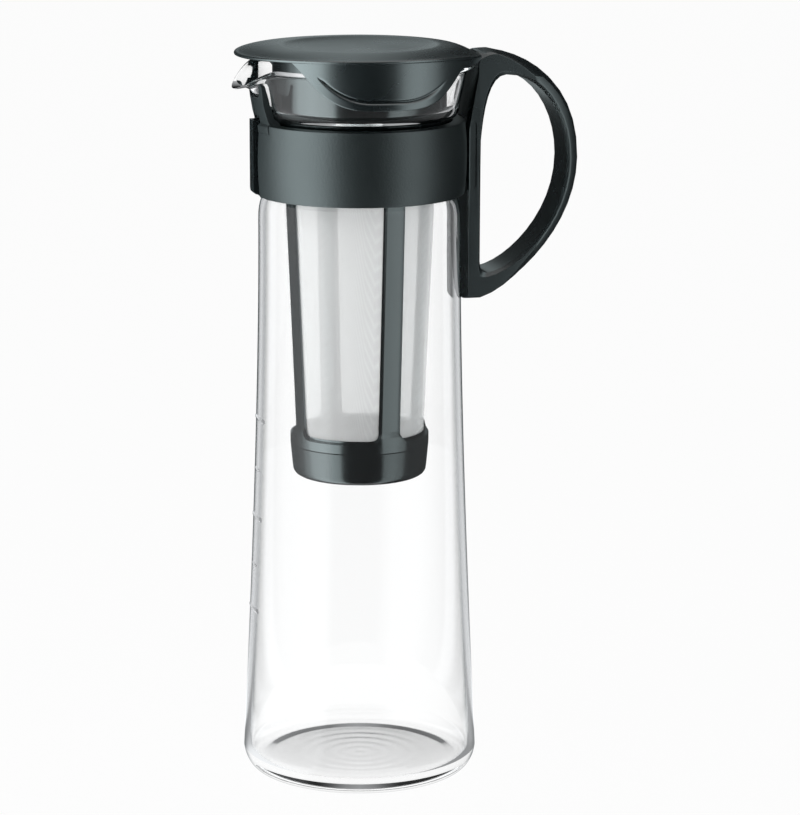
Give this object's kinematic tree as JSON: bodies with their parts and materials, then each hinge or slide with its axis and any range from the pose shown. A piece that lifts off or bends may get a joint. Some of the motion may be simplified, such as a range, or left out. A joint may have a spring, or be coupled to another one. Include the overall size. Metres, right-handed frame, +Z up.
{
  "type": "cold brew coffee maker",
  "caption": "Tall waisted glass coffee pot with a clasped neck band, loop handle, lid with grip lobes, and a hanging mesh strainer with a pull-off bottom cap.",
  "frame": {"origin": "on the table, at the centre of the overall width and depth, between the spout's tip and the handle's crest; the jug's axis is 19.24 mm from it towards -X", "axes": "+Z up along the jug's axis, +X towards the handle, -X towards the spout, +Y to the left of the handle"},
  "size_m": [0.1402, 0.0962, 0.2948],
  "materials": {
    "clear_glass": "clear, fire polished",
    "gloss_plastic": "smooth gloss, near black with a cool tint",
    "satin_plastic": "satin, near black with a cool tint",
    "grained_plastic": "fine matt grain, near black",
    "white_mesh": "fine white woven mesh, translucent"
  },
  "bodies": {
    "jug_body": {"glass_jug": "clear_glass", "neck_band": "grained_plastic", "handle": "satin_plastic"},
    "clasp": {"band_clasp": "satin_plastic"},
    "strainer": {"strainer_frame": "gloss_plastic", "mesh_panel_1": "white_mesh", "mesh_panel_2": "white_mesh", "mesh_panel_3": "white_mesh", "mesh_panel_4": "white_mesh"},
    "cap": {"strainer_cap": "gloss_plastic"},
    "lid": {"lid": "satin_plastic"}
  },
  "joints": [
    {"name": "strainer_lift", "type": "slide", "parent": "jug_body", "child": "strainer", "axis": [0, 0, 1], "range_m": [0, 0.18]},
    {"name": "lid_lift", "type": "slide", "parent": "strainer", "child": "lid", "axis": [0, 0, 1], "range_m": [0, 0.06]},
    {"name": "cap_release", "type": "slide", "parent": "strainer", "child": "cap", "axis": [0, 0, -1], "range_m": [0, 0.03]},
    {"name": "clasp_slide", "type": "slide", "parent": "jug_body", "child": "clasp", "axis": [0, 0, -1], "range_m": [0, 0.034]}
  ]
}
